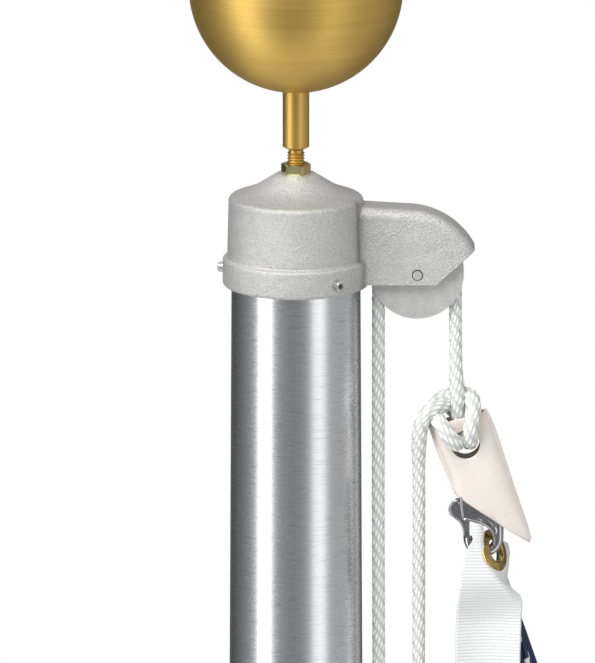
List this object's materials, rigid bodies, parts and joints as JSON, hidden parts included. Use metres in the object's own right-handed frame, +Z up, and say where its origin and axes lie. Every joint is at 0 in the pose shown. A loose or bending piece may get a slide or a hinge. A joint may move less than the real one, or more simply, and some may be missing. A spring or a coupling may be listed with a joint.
{
  "type": "flagpole",
  "caption": "Tall tapered metal flagpole with a ball finial, a pulley truck at the top, a rope halyard down to a cleat, and a flag hanging from two snap hooks.",
  "frame": {"origin": "centre of the pole's foot on the ground", "axes": "+Z up along the pole, +X towards the truck's arm and the flag, +Y across them"},
  "size_m": [0.8851, 0.305, 9.3398],
  "materials": {
    "brushed_shaft": "brushed around, satin",
    "cast_cap": "sand cast, fine grain",
    "sheave_metal": "cast, dull",
    "pin_steel": "turned",
    "screw_steel": "plain stainless",
    "plated_nut": "yellow zinc plated",
    "gold_spindle": "gold anodised, satin",
    "gold_ball": "gold anodised, spun and satin",
    "halyard_rope": "solid braid polyester, white",
    "heading_canvas": "woven canvas, white",
    "flag_cloth": "woven nylon, dyed",
    "snap_chrome": "bright plated",
    "vinyl_cover": "soft vinyl, satin",
    "grommet_brass": "plain, slightly worn"
  },
  "bodies": {
    "pole": {"shaft": "brushed_shaft", "flash_collar": "brushed_shaft", "truck_cap": "cast_cap", "sheave_pin": "pin_steel", "set_screw_1": "screw_steel", "set_screw_2": "screw_steel", "set_screw_3": "screw_steel", "jam_nut": "plated_nut", "ball_spindle": "gold_spindle", "ball": "gold_ball", "halyard_upper_hitch": "halyard_rope", "halyard_lower_hitch": "halyard_rope", "halyard_hoist_fall": "halyard_rope", "halyard_flag_fall": "halyard_rope", "halyard_cleat_fall": "halyard_rope", "halyard_cleat_turns": "halyard_rope", "flag_heading": "heading_canvas", "flag_cloth": "flag_cloth", "cleat": "cast_cap", "cleat_screw_upper": "screw_steel", "cleat_screw_lower": "screw_steel", "upper_snap_hook": "snap_chrome", "upper_gate_pin": "snap_chrome", "upper_snap_cover": "vinyl_cover", "upper_grommet": "grommet_brass", "lower_snap_hook": "snap_chrome", "lower_gate_pin": "snap_chrome", "lower_snap_cover": "vinyl_cover", "lower_grommet": "grommet_brass"},
    "sheave": {"sheave": "sheave_metal"},
    "upper_gate": {"upper_snap_gate": "snap_chrome"},
    "lower_gate": {"lower_snap_gate": "snap_chrome"}
  },
  "joints": [
    {"name": "sheave_spin", "type": "hinge", "parent": "pole", "child": "sheave", "pos_m": [0.072, 0, 9.104], "axis": [0, 1, 0], "continuous": true},
    {"name": "upper_gate_swing", "type": "hinge", "parent": "pole", "child": "upper_gate", "pos_m": [0.101, 0, 8.9597], "axis": [0, -1, 0], "range_deg": [0, 20], "stiffness_Nm_per_rad": 0.02},
    {"name": "lower_gate_swing", "type": "hinge", "parent": "pole", "child": "lower_gate", "pos_m": [0.101, 0, 7.7203], "axis": [0, 1, 0], "range_deg": [0, 20], "stiffness_Nm_per_rad": 0.02}
  ]
}
